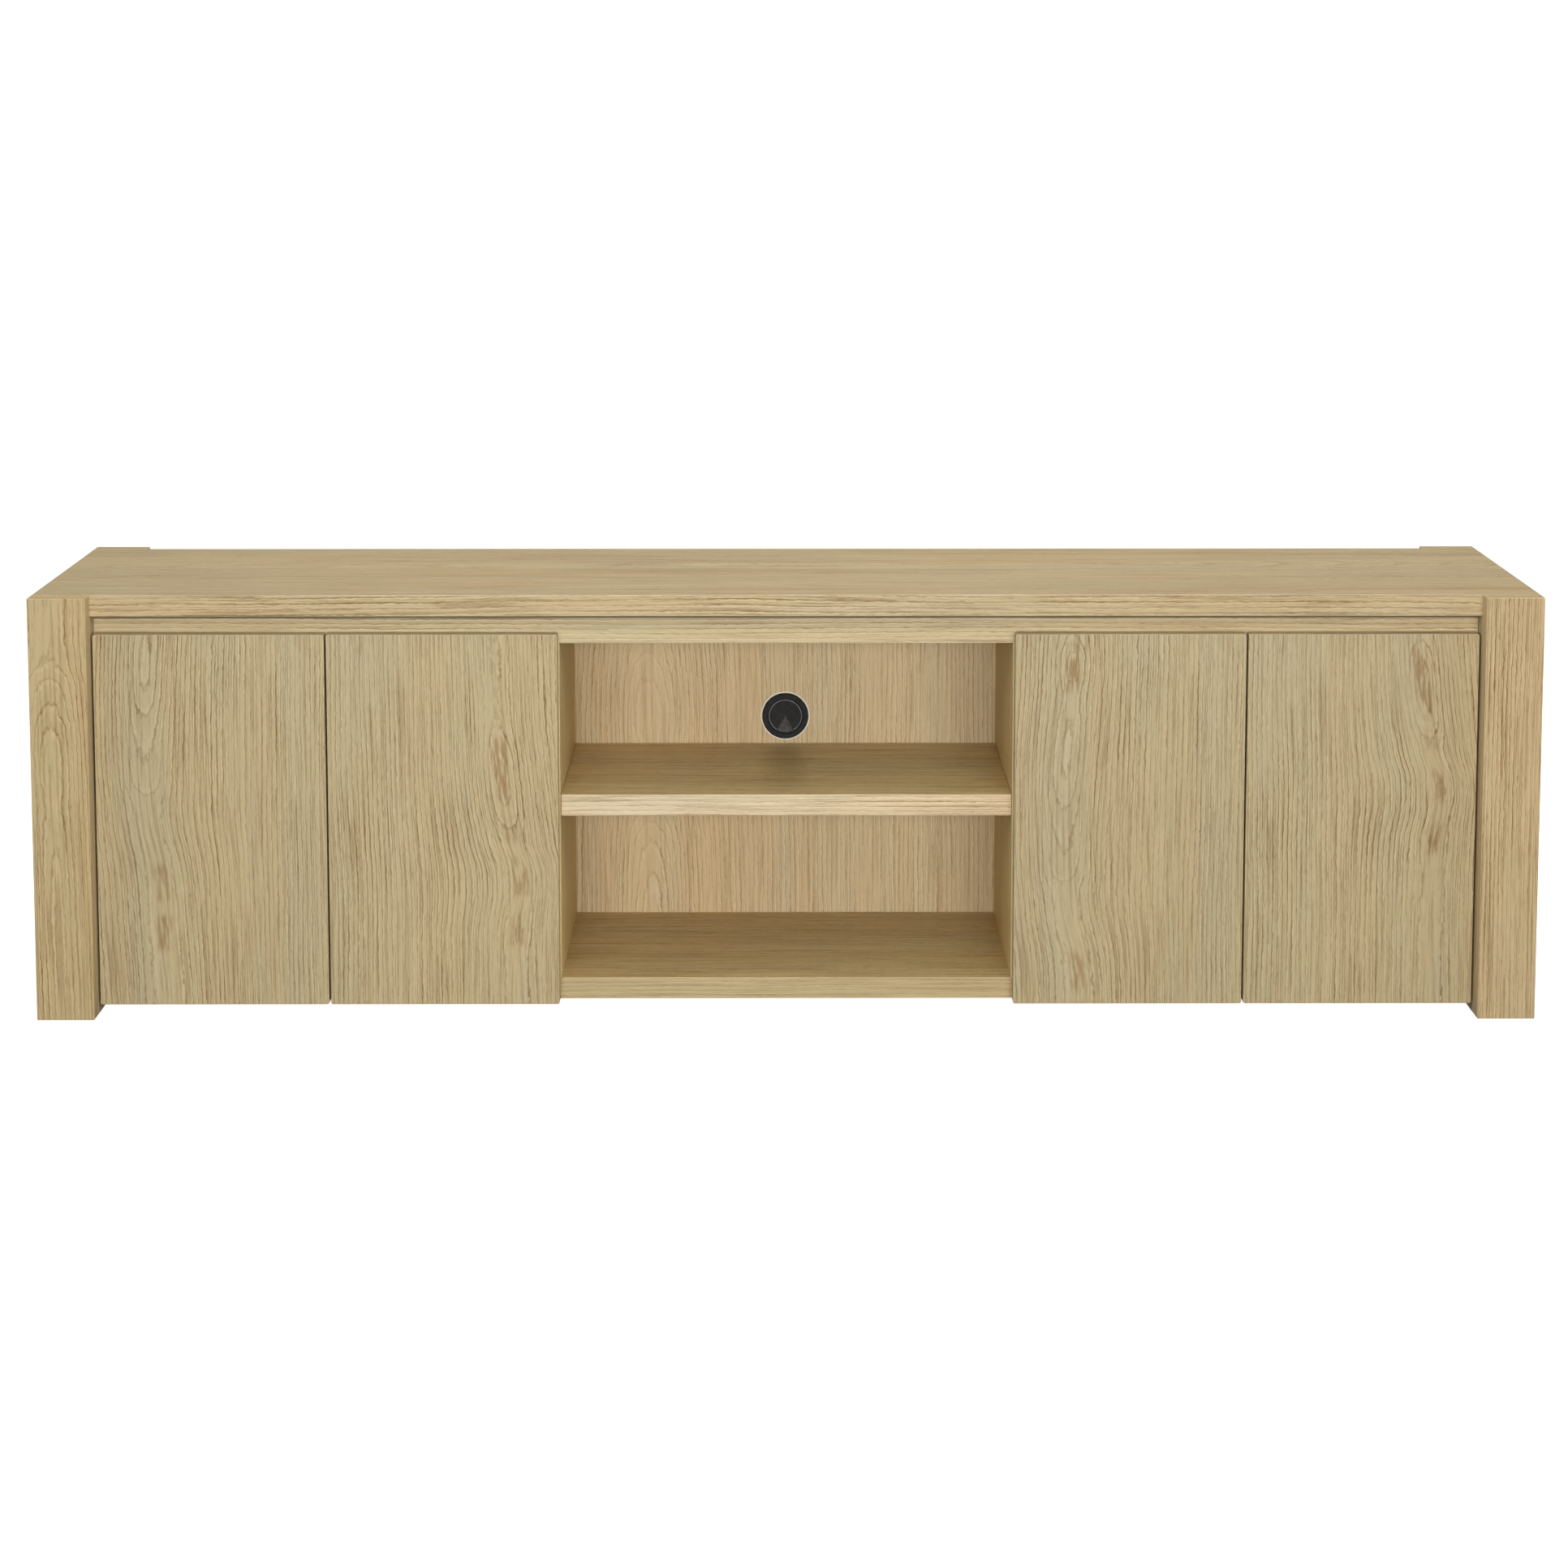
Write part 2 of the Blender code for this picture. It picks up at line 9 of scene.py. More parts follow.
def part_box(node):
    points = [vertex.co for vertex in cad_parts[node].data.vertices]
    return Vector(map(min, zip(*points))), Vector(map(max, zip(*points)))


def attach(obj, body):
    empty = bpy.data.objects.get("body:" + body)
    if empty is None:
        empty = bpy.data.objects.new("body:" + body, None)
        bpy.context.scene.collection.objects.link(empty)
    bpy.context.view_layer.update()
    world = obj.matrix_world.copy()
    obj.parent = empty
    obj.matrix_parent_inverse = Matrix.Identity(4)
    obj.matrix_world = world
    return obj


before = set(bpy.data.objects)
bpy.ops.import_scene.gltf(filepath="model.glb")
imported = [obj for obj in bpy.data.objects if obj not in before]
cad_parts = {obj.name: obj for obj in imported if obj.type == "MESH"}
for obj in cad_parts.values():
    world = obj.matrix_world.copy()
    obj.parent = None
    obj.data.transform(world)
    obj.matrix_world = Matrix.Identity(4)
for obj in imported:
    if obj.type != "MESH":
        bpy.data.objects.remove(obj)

MM = 0.001

# Camera, in metres.
CAMERA_PLACE = (-0.016, -3.8673, 1.1526)
CAMERA_YAW = math.radians(-0.204)
CAMERA_PITCH = math.radians(-6.125)
CAMERA_LENS = 72.044
CAMERA_SHIFT = -0.25
SENSOR_WIDTH = 36.0

# Lights, which all face the same point: place and size in metres, then watts.
LIGHT_AIM = (0.0, 0.0, 0.3)
LIGHTS = {
    "key": ((0.2, -4.6, 0.85), (3.0, 1.3), 138.0),
    "top": ((0.15, 0.1, 3.2), (3.0, 2.4), 66.0),
    "fill": ((0.15, -2.3, 2.5), (2.6, 1.2), 24.0),
    "left": ((-4.0, -0.7, 1.1), (2.0, 1.4), 45.0),
    "right": ((4.0, -0.7, 1.1), (2.0, 1.4), 45.0),
    "rear": ((0.0, 4.4, 1.2), (3.0, 1.6), 85.0),
}

# Floor and backdrop.
WHITE = (1.0, 1.0, 1.0, 1.0)
WORLD_STRENGTH = 0.13
FLOOR_RADIUS = 3.2
FLOOR_SIDES = 96
FLOOR_GLOW = 0.93
FLOOR_TONE = (0.5, 0.5, 0.5, 1.0)
FLOOR_ROUGHNESS = 0.9
DOME_RADIUS = 30.0
DOME_SEGMENTS = 48
DOME_RINGS = 24
DOME_GLOW = 1.1

# Veneer colours, linear.
KHAKI = (0.500, 0.418, 0.242)
TAN = (0.528, 0.410, 0.220)
PALE = (0.640, 0.530, 0.340)
LINE = (0.235, 0.143, 0.052)
BROWN = (0.330, 0.205, 0.088)
# Painted shade along the joint under an overhanging board.
SEAM_SHADE = (0.060, 0.045, 0.014)

# Painted light and shade: what a board's veneer is multiplied by, so that it reads as light
# as it should where the lamps light it more or less. The bay's shaded boards, the rail, the
# back panels and the bottom are lifted, the right doors and the top darkened, and the top's
# and shelf's front edges lifted, the shelf's partly as a paler edge veneer. The front posts
# are warmed, the right one also lightened.
NEUTRAL = (1.0, 1.0, 1.0)
RIGHT_DOORS_PAINTED_SHADE = (0.955, 0.955, 0.955)
LEFT_POST = (1.04, 0.98, 0.89)
RIGHT_POST = (1.06, 1.0, 0.96)
TOP_PAINTED_SHADE = (0.99, 0.96, 0.97)
TOP_EDGE_PAINTED_LIGHT = (1.08, 1.05, 1.04)
RAIL_PAINTED_LIGHT = (1.22, 1.22, 1.24)
SHADED_PAINTED_LIGHT = (1.36, 1.30, 1.06)
BACKS_PAINTED_LIGHT = (1.32, 1.29, 1.33)
SHELF_EDGE_PAINTED_LIGHT = (1.40, 1.40, 1.58)
BOTTOM_PAINTED_LIGHT = (1.19, 1.13, 0.92)
BOTTOM_EDGE = (1.07, 1.01, 0.93)

# Metal and plastic colours, linear.
BLACK = (0.004, 0.004, 0.0045)
STEEL = (0.62, 0.61, 0.59)
ZINC = (0.70, 0.68, 0.62)
SKIRT_GREY = (0.085, 0.087, 0.092)
SOFT_GREY = (0.42, 0.42, 0.40)
CUT_EDGE = (0.95, 0.88, 0.72)

# What goes into the oak figure and what comes out of it.
FIGURE_INPUTS = (
    "Across", "Along", "Seed", "Rise", "Spot", "Spacing", "Wander", "Jag", "Contrast",
)
FIGURE_OUTPUTS = ("Line", "Pore", "Edge", "Tint", "Brown", "Fibre", "Patch", "Streak")

# The figure's noise: waves a metre across and along the grain, what is added to the seed
# and, where they aren't the usual ones, the detail and the roughness.
FIELDS = {
    "flow": (6, 1.7, 0.0),
    "wave": (34, 5, 3.7),
    "jag": (230, 65, 9.1, 1.0),
    "lift": (40, 14, 5.3),
    "core": (240, 30, 33.0),
    "drift": (12, 1.5, 8.8),
    "tremor": (300, 90, 41.0, 1.0),
    "patch": (24, 3, 12.0),
    "dashes": (620, 46, 2.2, 1.5, 0.6),
    "hair": (360, 7, 50.0, 1.0),
    "specks": (800, 55, 30.2, 1.5, 0.6),
    "tint": (22, 1.4, 14.4),
    "brown": (18, 4, 17.9),
    "fibre": (420, 12, 1.3, 2.0, 0.6),
    "cloud": (4, 1.2, 21.0),
    "streak": (34, 1.3, 27.0, 3.0),
}
NOISE_MIDDLE = 0.5

# How far noise of 0 to 1 moves the rings: metres and, in the last two, ring spacings.
SWINGS = {
    "flow": 15 * MM,
    "wave": 4.0 * MM,
    "jag": 1.5 * MM,
    "lift": 4.0 * MM,
    "drift": 0.8,
    "tremor": 0.5,
}

# Smooth steps: what goes in, from and to, then what comes out where it isn't 0 to 1.
STEPS = {
    "spread": (0.0, 50 * MM, 0.7, 1.0),
    "core": (9.0 * MM, 3.5 * MM),
    "core_patches": (0.36, 0.6),
    "patch": (0.36, 0.62, 0.5, 1.0),
    "dashes": (0.42, 0.62),
    "hair": (0.50, 0.66),
    "faint": (0.40, 0.50),
    "onset": (0.93, 1.0),
    "crossing": (0.0, 0.6, 0.5, 1.0),
    "specks": (0.52, 0.66),
    "edge_onset": (0.62, 0.80),
    "edge_fall": (0.86, 0.94, 1.0, 0.0),
    "tint": (0.30, 0.70),
    "brown_rings": (0.72, 0.95),
    "brown_fall": (0.75, 0.1),
    "brown_patches": (0.46, 0.64),
    "streak": (0.50, 0.72),
}

# What a value is multiplied by, and what is then added.
BLENDS = {
    "ring_strength": (0.5, 0.6),
    "dashes": (0.3, 0.7),
    "core_pores": (0.5, 0.3),
    "fibre_tone": (0.34, 0.83),
    "cloud_tone": (0.16, 0.92),
    # How far the rubbed edges and their painted highlight reach.
    "rub_and_highlight_reach": (1.6 * MM, 0.5 * MM),
}

# A ring's dark line, in shares of a ring: where it starts to fade, where that ends on a
# square cut and at the least, and how far past the ring's middle the faint line lies.
LINE_START = 0.02
LINE_WIDTH = 0.36
LEAST_LINE_WIDTH = 0.13
FAINT_PLACE = 0.12
HALF_RING = 0.5

# How strong the faint lines, the hair lines and the brown rings are.
FAINT_SHARE = 0.5
HAIR_SHARE = 0.40
BROWN_RING_SHARE = 0.45

# The share that each layer covers of what is under it.
EDGE_COVER = 0.34
BROWN_COVER = 0.78
LINE_COVER = 0.82
PORE_COVER = 0.5
# The rubbed edges' cover, which is partly a painted highlight.
RUB_AND_HIGHLIGHT_COVER = 0.35

# What each layer adds to the roughness, and to the height that the bump reads.
FIBRE_ROUGHNESS = 0.16
PORE_ROUGHNESS = 0.18
WORN_ROUGHNESS = -0.08
PORE_HEIGHT = -0.7
LINE_HEIGHT = -0.5
FIBRE_HEIGHT = 0.25
VENEER_BUMP = (0.28, 0.4 * MM)
VENEER_SHINE = 0.35
# Noise in how far the rubbed, painted-highlight edges reach.
RUB_AND_HIGHLIGHT_NOISE = (2.0, 0.6, 90.0)

# The height that 1 stands for in a figure's curves.
CURVE_UNIT = 100 * MM

# A face looks along an axis when the normal's share of that axis is over this.
FACING = 0.6

# What a face that looks along X, Y or Z adds to its board's seed, for each unit of its
# normal once that is rounded down to the step. The lean keeps a normal of just under 0
# from counting as a turned one.
FACE_SEEDS = (1.7, 3.1, 5.9)
NORMAL_STEP = (0.7, 0.7, 0.7)
NORMAL_LEAN = (0.1, 0.1, 0.1)

# Painted shade: the dark line along the top of a board that butts under another, where the
# board above shades it over the joint.
SEAM_SHADE_HEIGHT = 4.9 * MM
SEAM_SHADE_SOFTNESS = 0.8 * MM

# The heart line's bends reach this far to its sides: from, to, and the share at each.
HEART_HOLD = (10 * MM, 130 * MM, 1.0, 0.1)

# A board with no figure of its own: its rise at both ends in millimetres, and where its
# heart lies, in metres across the grain.
PLAIN_RISE = (20.0, 60.0)
PLAIN_HEART_FROM = -0.4
SEED_RANGE = (0, 40)

# The doors' two figures. Each point is millimetres down from the left outer door's top,
# then millimetres of rise, millimetres across, or per cent of a brown spot.
DOOR_TOP = 465 * MM
DOOR_CONTRAST = 1.12
DOOR_FIGURES = {
    "arch": {
        "rise": [
            (-150, 14), (-105, 10), (-70, 3), (-35, 9), (0, 5), (40, 4), (78, 8),
            (102, 12), (178, 20), (209, 26), (260, 26), (453, 25), (600, 24),
        ],
        "heart": [
            (-150, 70), (-70, 70), (78, 62), (209, 64), (303, 78), (360, 80), (453, 84),
            (600, 84),
        ],
        "spots": [
            (-150, 0), (-110, 0), (-88, 100), (-50, 100), (-30, 0), (270, 0), (290, 80),
            (315, 80), (335, 0), (350, 90), (375, 90), (395, 0), (600, 0),
        ],
        "heart_base": 0,
        "seed": 2.4,
    },
    "eye": {
        "rise": [
            (-150, 14), (0, 11), (110, 12), (169, 3), (215, 7), (252, 14), (304, 12),
            (335, 14), (365, 12), (400, 14), (470, 14), (600, 14),
        ],
        "heart": [
            (-150, 20), (25, 20), (169, 28), (252, 41), (304, 53), (365, 47), (453, 46),
            (600, 46),
        ],
        "spots": [
            (-150, 0), (110, 0), (140, 100), (195, 100), (215, 0), (245, 60), (260, 0),
            (290, 80), (315, 70), (330, 0), (350, 80), (375, 80), (385, 0), (600, 0),
        ],
        "heart_base": 180,
        "seed": 11.3,
    },
}

# How far down the right pair's figures lie, against the left pair's.
RIGHT_ARCH_SHIFT = 110
RIGHT_EYE_SHIFT = -111

# Metal and plastic: each noise's detail and roughness, how much finer the fine noise is,
# and what the two add to the colour and the roughness.
CLOUD_NOISE = (3.0, 0.55)
FINE_NOISE = (2.0, 0.5)
FINE_SCALE = 9
CLOUD_STEP = (0.3, 0.7)
WORN_LIFT = 0.01
CLOUD_ROUGHNESS = 0.2
FINE_ROUGHNESS = 0.06
PLAIN_BUMP_DEPTH = 0.1 * MM

# A screw head's rings, as shares of its radius: ring radius, height, and height inside
# an arm of the cross recess.
SCREW_RINGS = (
    (0.16, -0.06, -0.06), (0.25, 0.34, 0.02), (0.50, 0.31, 0.12), (0.57, 0.29, 0.29),
    (0.82, 0.20, 0.20), (1.00, 0.04, 0.04), (1.00, 0.0, 0.0),
)
SCREW_MIDDLE = -0.12
SCREW_SIDES = 32
RECESS_ARMS = 4
RECESS_ARM_SIDES = 2

# Turned profiles, (radius, height) in millimetres.
PIN_PROFILE = (
    (0.0, 6.9), (1.2, 6.8), (1.9, 6.5), (2.1, 6.1), (1.3, 6.05), (1.3, -6.05),
    (2.1, -6.1), (1.9, -6.5), (1.2, -6.8), (0.0, -6.9),
)
BUMPER_PROFILE = ((0.0, 1.5), (1.6, 1.4), (3.0, 1.0), (3.8, 0.3), (3.9, 0.0), (0.0, 0.0))
HALO_PROFILE = ((30.05, 0.0), (30.1, 0.25), (30.8, 0.4), (31.5, 0.25), (31.7, 0.0))
PIN_SIDES = 16
BUMPER_SIDES = 24
HALO_SIDES = 72

# Hinge fasteners, in millimetres: heights above the floor, each screw's reach up and down
# from its hinge, and the rest from the door's hinged edge or front face.
DOORS = ("left_outer", "left_inner", "right_inner", "right_outer")
HINGED_ON_LEFT = ("left_outer", "right_inner")
HINGE_HEIGHTS = (92.0, 385.0)
HINGE_SCREW_RADIUS = 3.4
WING_FACE = 19.5
CUP_ACROSS = 22.5
CUP_SCREW_REACH = 25.3
PLATE_SCREW_REACH = 18.5
PLATE_DEEP = 57.0
PLATE_ON_DIVIDER = 18.8
PLATE_ON_SIDE = -0.2
KNUCKLE_ACROSS = 12.0
KNUCKLE_DEEP = 15.0

# Soft dots, in millimetres from the door's free edge, bottom and top.
BUMPER_IN = 12
BUMPER_UP = 14
BUMPER_DOWN = 7

# The back panels' front and rear faces, in millimetres behind the cabinet's middle.
BACK_PANEL_FACE = 139.5
BACK_PANEL_REAR = 145.5

# Screws in the back panels, in millimetres: places across, and their heights.
BACK_SCREW_RADIUS = 2.6
BACK_SCREWS = (
    ((-690, -560, -430, -140, 0, 140, 430, 560, 690), (26,)),
    ((-180, 180), (251,)),
    ((-286, -277, 277, 286), (90, 200, 330, 440)),
)

# Grommet, in millimetres and degrees.
GROMMET_CENTRE = (0.0, 300.0)
CAP_FACE = 137.5
NOTCH_HALF_ANGLE = 30
RIM_MARGIN = 2
RIM_RADIUS = 20.9
RIM_HALF_WIDTH = 0.55
RIM_HALF_DEPTH = 0.35
RIM_RISE = 0.1
RIM_STEPS = 56
RIM_SIDES = 8
SKIRT_FACE = 138.3
SKIRT_HALF_ANGLE = 36
SKIRT_REACH = 22.4
SKIRT_TIP = 2
SKIRT_PLEAT = 2.2
SKIRT_FOLDS = 7
SKIRT_THICKNESS = 0.6

SMOOTH_ANGLE = math.radians(35)

random.seed(7)
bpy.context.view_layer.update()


class Graph:
    """Adds shader nodes to a tree. Most methods give back the new node's output socket."""

    def __init__(self, tree):
        self.tree = tree

    def node(self, kind, **settings):
        made = self.tree.nodes.new(kind)
        for name, value in settings.items():
            setattr(made, name, value)
        return made

    def put(self, socket, value):
        if isinstance(value, bpy.types.NodeSocket):
            self.tree.links.new(value, socket)
        else:
            socket.default_value = value

    def math(self, operation, *values, clamp=False):
        made = self.node("ShaderNodeMath", operation=operation, use_clamp=clamp)
        for socket, value in zip(made.inputs, values):
            self.put(socket, value)
        return made.outputs[0]

    def product(self, first, *others):
        for other in others:
            first = self.math("MULTIPLY", first, other)
        return first

    def blend(self, name, value):
        """The value times the factor that BLENDS gives, plus what it adds."""
        return self.math("MULTIPLY_ADD", value, *BLENDS[name])

    def vector(self, operation, *values):
        made = self.node("ShaderNodeVectorMath", operation=operation)
        for socket, value in zip(made.inputs, values):
            self.put(socket, value)
        return made.outputs["Value" if operation == "DOT_PRODUCT" else "Vector"]

    def combine(self, x, y, z):
        made = self.node("ShaderNodeCombineXYZ")
        for socket, value in zip(made.inputs, (x, y, z)):
            self.put(socket, value)
        return made.outputs[0]

    def grey(self, value):
        return self.combine(value, value, value)

    def split(self, vector):
        made = self.node("ShaderNodeSeparateXYZ")
        self.put(made.inputs[0], vector)
        return made.outputs

    def noise(self, vector, detail=2.0, roughness=0.5, scale=1.0):
        made = self.node("ShaderNodeTexNoise")
        self.put(made.inputs["Vector"], vector)
        made.inputs["Scale"].default_value = scale
        made.inputs["Detail"].default_value = detail
        made.inputs["Roughness"].default_value = roughness
        return made.outputs["Fac"]

    def white(self, value):
        made = self.node("ShaderNodeTexWhiteNoise", noise_dimensions="1D")
        self.put(made.inputs["W"], value)
        return made.outputs["Value"]

    def smooth(self, value, low, high, to_low=0.0, to_high=1.0):
        made = self.node("ShaderNodeMapRange", interpolation_type="SMOOTHSTEP")
        for socket, given in zip(made.inputs, (value, low, high, to_low, to_high)):
            self.put(socket, given)
        return made.outputs[0]

    def mix(self, factor, a, b, blend="MIX"):
        made = self.node("ShaderNodeMix", data_type="RGBA", blend_type=blend)
        self.put(made.inputs["Factor"], factor)
        # A mix node's colours are its inputs 6 and 7, and output 2.
        for socket, value in zip((made.inputs[6], made.inputs[7]), (a, b)):
            colour = isinstance(value, tuple) and len(value) == 3
            self.put(socket, (*value, 1.0) if colour else value)
        return made.outputs[2]

    def curve(self, value, points):
        """A smooth curve through (place, height) points, both in 0..1."""
        made = self.node("ShaderNodeFloatCurve")
        line = made.mapping.curves[0]
        for place, height in points[1:-1]:
            line.points.new(place, height)
        ends = (line.points[0], line.points[-1])
        for point, given in zip(ends, (points[0], points[-1])):
            point.location = given
        made.mapping.update()
        self.put(made.inputs["Value"], value)
        return made.outputs[0]

    def bump(self, height, strength, distance):
        made = self.node("ShaderNodeBump")
        made.inputs["Strength"].default_value = strength
        made.inputs["Distance"].default_value = distance
        self.put(made.inputs["Height"], height)
        return made.outputs[0]

    def finish(self, colour, rough, normal, shine, metallic=0.0):
        """The Principled shader and the material's output."""
        shader = self.node("ShaderNodeBsdfPrincipled")
        self.put(shader.inputs["Base Color"], colour)
        self.put(shader.inputs["Roughness"], rough)
        self.put(shader.inputs["Normal"], normal)
        shader.inputs["Metallic"].default_value = metallic
        shader.inputs["Specular IOR Level"].default_value = shine
        output = self.node("ShaderNodeOutputMaterial")
        self.put(output.inputs["Surface"], shader.outputs[0])


def empty_material(name):
    """A material with no nodes yet, and its graph."""
    material = bpy.data.materials.new(name)
    material.use_nodes = True
    material.node_tree.nodes.clear()
    return material, Graph(material.node_tree)


def oak_group():
    """Growth rings cut by the board's surface, with their pore lines and tints."""
    tree = bpy.data.node_groups.new("oak_figure", "ShaderNodeTree")
    for name in FIGURE_INPUTS:
        tree.interface.new_socket(name, in_out="INPUT", socket_type="NodeSocketFloat")
    for name in FIGURE_OUTPUTS:
        tree.interface.new_socket(name, in_out="OUTPUT", socket_type="NodeSocketFloat")
    g = Graph(tree)
    given = g.node("NodeGroupInput").outputs
    across, contrast = given["Across"], given["Contrast"]

    def field(name, across=across):
        fine, long, offset, *kind = FIELDS[name]
        place = g.combine(
            g.product(across, fine),
            g.product(given["Along"], long),
            g.math("ADD", given["Seed"], offset),
        )
        return g.noise(place, *kind)

    def swing(name):
        return g.product(g.math("SUBTRACT", field(name), NOISE_MIDDLE), SWINGS[name])

    def step(name, value):
        return g.smooth(value, *STEPS[name])

    # How far the surface lies from the heart, in rings.
    flow = g.product(swing("flow"), given["Wander"])
    wave = g.product(swing("wave"), given["Wander"])
    jag = g.product(swing("jag"), given["Jag"])
    bent = g.math("ADD", g.math("ADD", across, flow), g.math("ADD", wave, jag))
    bent = g.product(bent, step("spread", g.math("ABSOLUTE", bent)))
    lift = g.math("ADD", given["Rise"], swing("lift"))
    squares = g.math("ADD", g.product(bent, bent), g.product(lift, lift))
    radius = g.math("SQRT", squares)
    turns = g.math("DIVIDE", radius, given["Spacing"])
    turns = g.math("ADD", turns, swing("drift"))
    turns = g.math("ADD", turns, swing("tremor"))
    ring = g.math("FRACT", turns)
    strength = g.white(g.math("FLOOR", turns))
    beside = g.math("ABSOLUTE", bent)
    steep = g.math("DIVIDE", beside, radius)

    # The rings' dark lines, broken up by patches and dashes, and thin hair lines.
    width = g.math("MAXIMUM", g.product(steep, LINE_WIDTH), LEAST_LINE_WIDTH)
    fall = g.smooth(ring, LINE_START, width, 1.0, 0.0)
    half = g.math("PINGPONG", g.math("ADD", ring, -FAINT_PLACE), HALF_RING)
    faint = g.product(step("faint", half), g.product(steep, FAINT_SHARE))
    line = g.math("MAXIMUM", g.math("MAXIMUM", fall, step("onset", ring)), faint)
    patch = step("patch", field("patch"))
    line = g.product(
        line,
        patch,
        g.blend("ring_strength", strength),
        g.blend("dashes", step("dashes", field("dashes"))),
        step("crossing", steep),
    )
    hair = step("hair", field("hair", bent))
    line = g.product(g.math("MULTIPLY_ADD", hair, HAIR_SHARE, line), contrast)

    # Brown spots on the heart line, brown rings and open pores.
    core = g.product(
        step("core", beside), given["Spot"], step("core_patches", field("core"))
    )
    specks = step("specks", field("specks"))
    broad = g.product(step("brown_rings", strength), step("brown_fall", ring))
    broad = g.product(broad, step("brown_patches", field("brown")), BROWN_RING_SHARE)

    results = {
        "Line": line,
        "Pore": g.product(specks, g.blend("core_pores", core), contrast),
        "Edge": g.product(step("edge_onset", ring), step("edge_fall", ring), patch),
        "Tint": step("tint", field("tint")),
        "Brown": g.product(g.math("MAXIMUM", broad, core), contrast),
        "Fibre": field("fibre"),
        "Patch": field("cloud"),
        "Streak": step("streak", field("streak")),
    }
    made = g.node("NodeGroupOutput").inputs
    for name, value in results.items():
        g.put(made[name], value)
    return tree


def edge_group():
    """The distance in metres from a point on a box's surface to the box's nearest edge."""
    tree = bpy.data.node_groups.new("board_edge", "ShaderNodeTree")
    for name in ("Place", "Middle", "Half"):
        tree.interface.new_socket(name, in_out="INPUT", socket_type="NodeSocketVector")
    tree.interface.new_socket(
        "Distance", in_out="OUTPUT", socket_type="NodeSocketFloat"
    )
    g = Graph(tree)
    given = g.node("NodeGroupInput").outputs
    away = g.vector("ABSOLUTE", g.vector("SUBTRACT", given["Place"], given["Middle"]))
    x, y, z = g.split(g.vector("SUBTRACT", given["Half"], away))
    lower = g.math("MINIMUM", g.math("MAXIMUM", x, y), z)
    distance = g.math("MAXIMUM", g.math("MINIMUM", x, y), lower)
    g.put(g.node("NodeGroupOutput").inputs["Distance"], distance)
    return tree


OAK_FIGURE = oak_group()
BOARD_EDGE = edge_group()


def grain_place(g, plan):
    """The place, metres across and along the grain, the seed, and 1 on a front or back."""
    coordinates = g.node("ShaderNodeTexCoord").outputs
    place = coordinates["Object"]
    facing = g.vector("ABSOLUTE", coordinates["Normal"])
    fx, fy, fz = (g.math("GREATER_THAN", part, FACING) for part in g.split(facing))
    if plan["grain"] == "upright":
        across_weights = g.combine(fy, g.math("ADD", fx, fz), 0.0)
        along_weights = g.combine(fz, 0.0, g.math("ADD", fx, fy))
    else:
        across_weights = g.combine(0.0, fz, g.math("ADD", fx, fy))
        along_weights = g.combine(g.math("ADD", fz, fy), fx, 0.0)
    across = g.vector("DOT_PRODUCT", place, across_weights)
    along = g.vector("DOT_PRODUCT", place, along_weights)
    leaning = g.vector("ADD", coordinates["Normal"], NORMAL_LEAN)
    turned = g.vector("SNAP", leaning, NORMAL_STEP)
    seed = g.math("ADD", g.vector("DOT_PRODUCT", turned, FACE_SEEDS), plan["seed"])
    return place, across, along, seed, fy


def board_figure(g, plan, across, along, seed, fy):
    """The figure's outputs on this board."""
    start, end = plan["span"]
    length = end - start
    share = g.math("DIVIDE", g.math("SUBTRACT", along, start), length)

    def profile(name):
        """One of the plan's lists of points in millimetres, as a curve along the board."""
        points = [((s * MM - start) / length, h * MM / CURVE_UNIT) for s, h in plan[name]]
        return g.curve(share, points)

    level = sum(place for _, place in plan["heart"]) / len(plan["heart"]) * MM
    wander = g.math("MULTIPLY_ADD", profile("heart"), CURVE_UNIT, -level)
    away = g.math("SUBTRACT", across, plan["heart_from"] + level)
    near = g.smooth(g.math("ABSOLUTE", away), *HEART_HOLD)
    given = {
        "Across": g.math("SUBTRACT", away, g.product(wander, near)),
        "Along": along,
        "Seed": seed,
        "Rise": g.product(profile("rise"), CURVE_UNIT),
        "Spot": profile("spots"),
        "Spacing": plan["spacing"] * MM,
        "Wander": plan["wander"],
        "Jag": plan["jag"],
        "Contrast": g.math(
            "MULTIPLY_ADD", fy, plan["front_contrast"] - plan["contrast"], plan["contrast"]
        ),
    }
    figure = g.node("ShaderNodeGroup", node_tree=OAK_FIGURE)
    for name, value in given.items():
        g.put(figure.inputs[name], value)
    return figure.outputs


def rubbed_and_highlit_edges(g, plan, place):
    """1 on the box's edges, falling to 0 a millimetre or two away: rubbed edges that also
    carry a painted highlight.
    """
    middle, half = plan["box"]
    edge = g.node("ShaderNodeGroup", node_tree=BOARD_EDGE)
    g.put(edge.inputs["Place"], place)
    g.put(edge.inputs["Middle"], middle)
    g.put(edge.inputs["Half"], half)
    reach = g.blend("rub_and_highlight_reach", g.noise(place, *RUB_AND_HIGHLIGHT_NOISE))
    return g.math("SUBTRACT", 1.0, g.math("DIVIDE", edge.outputs[0], reach), clamp=True)


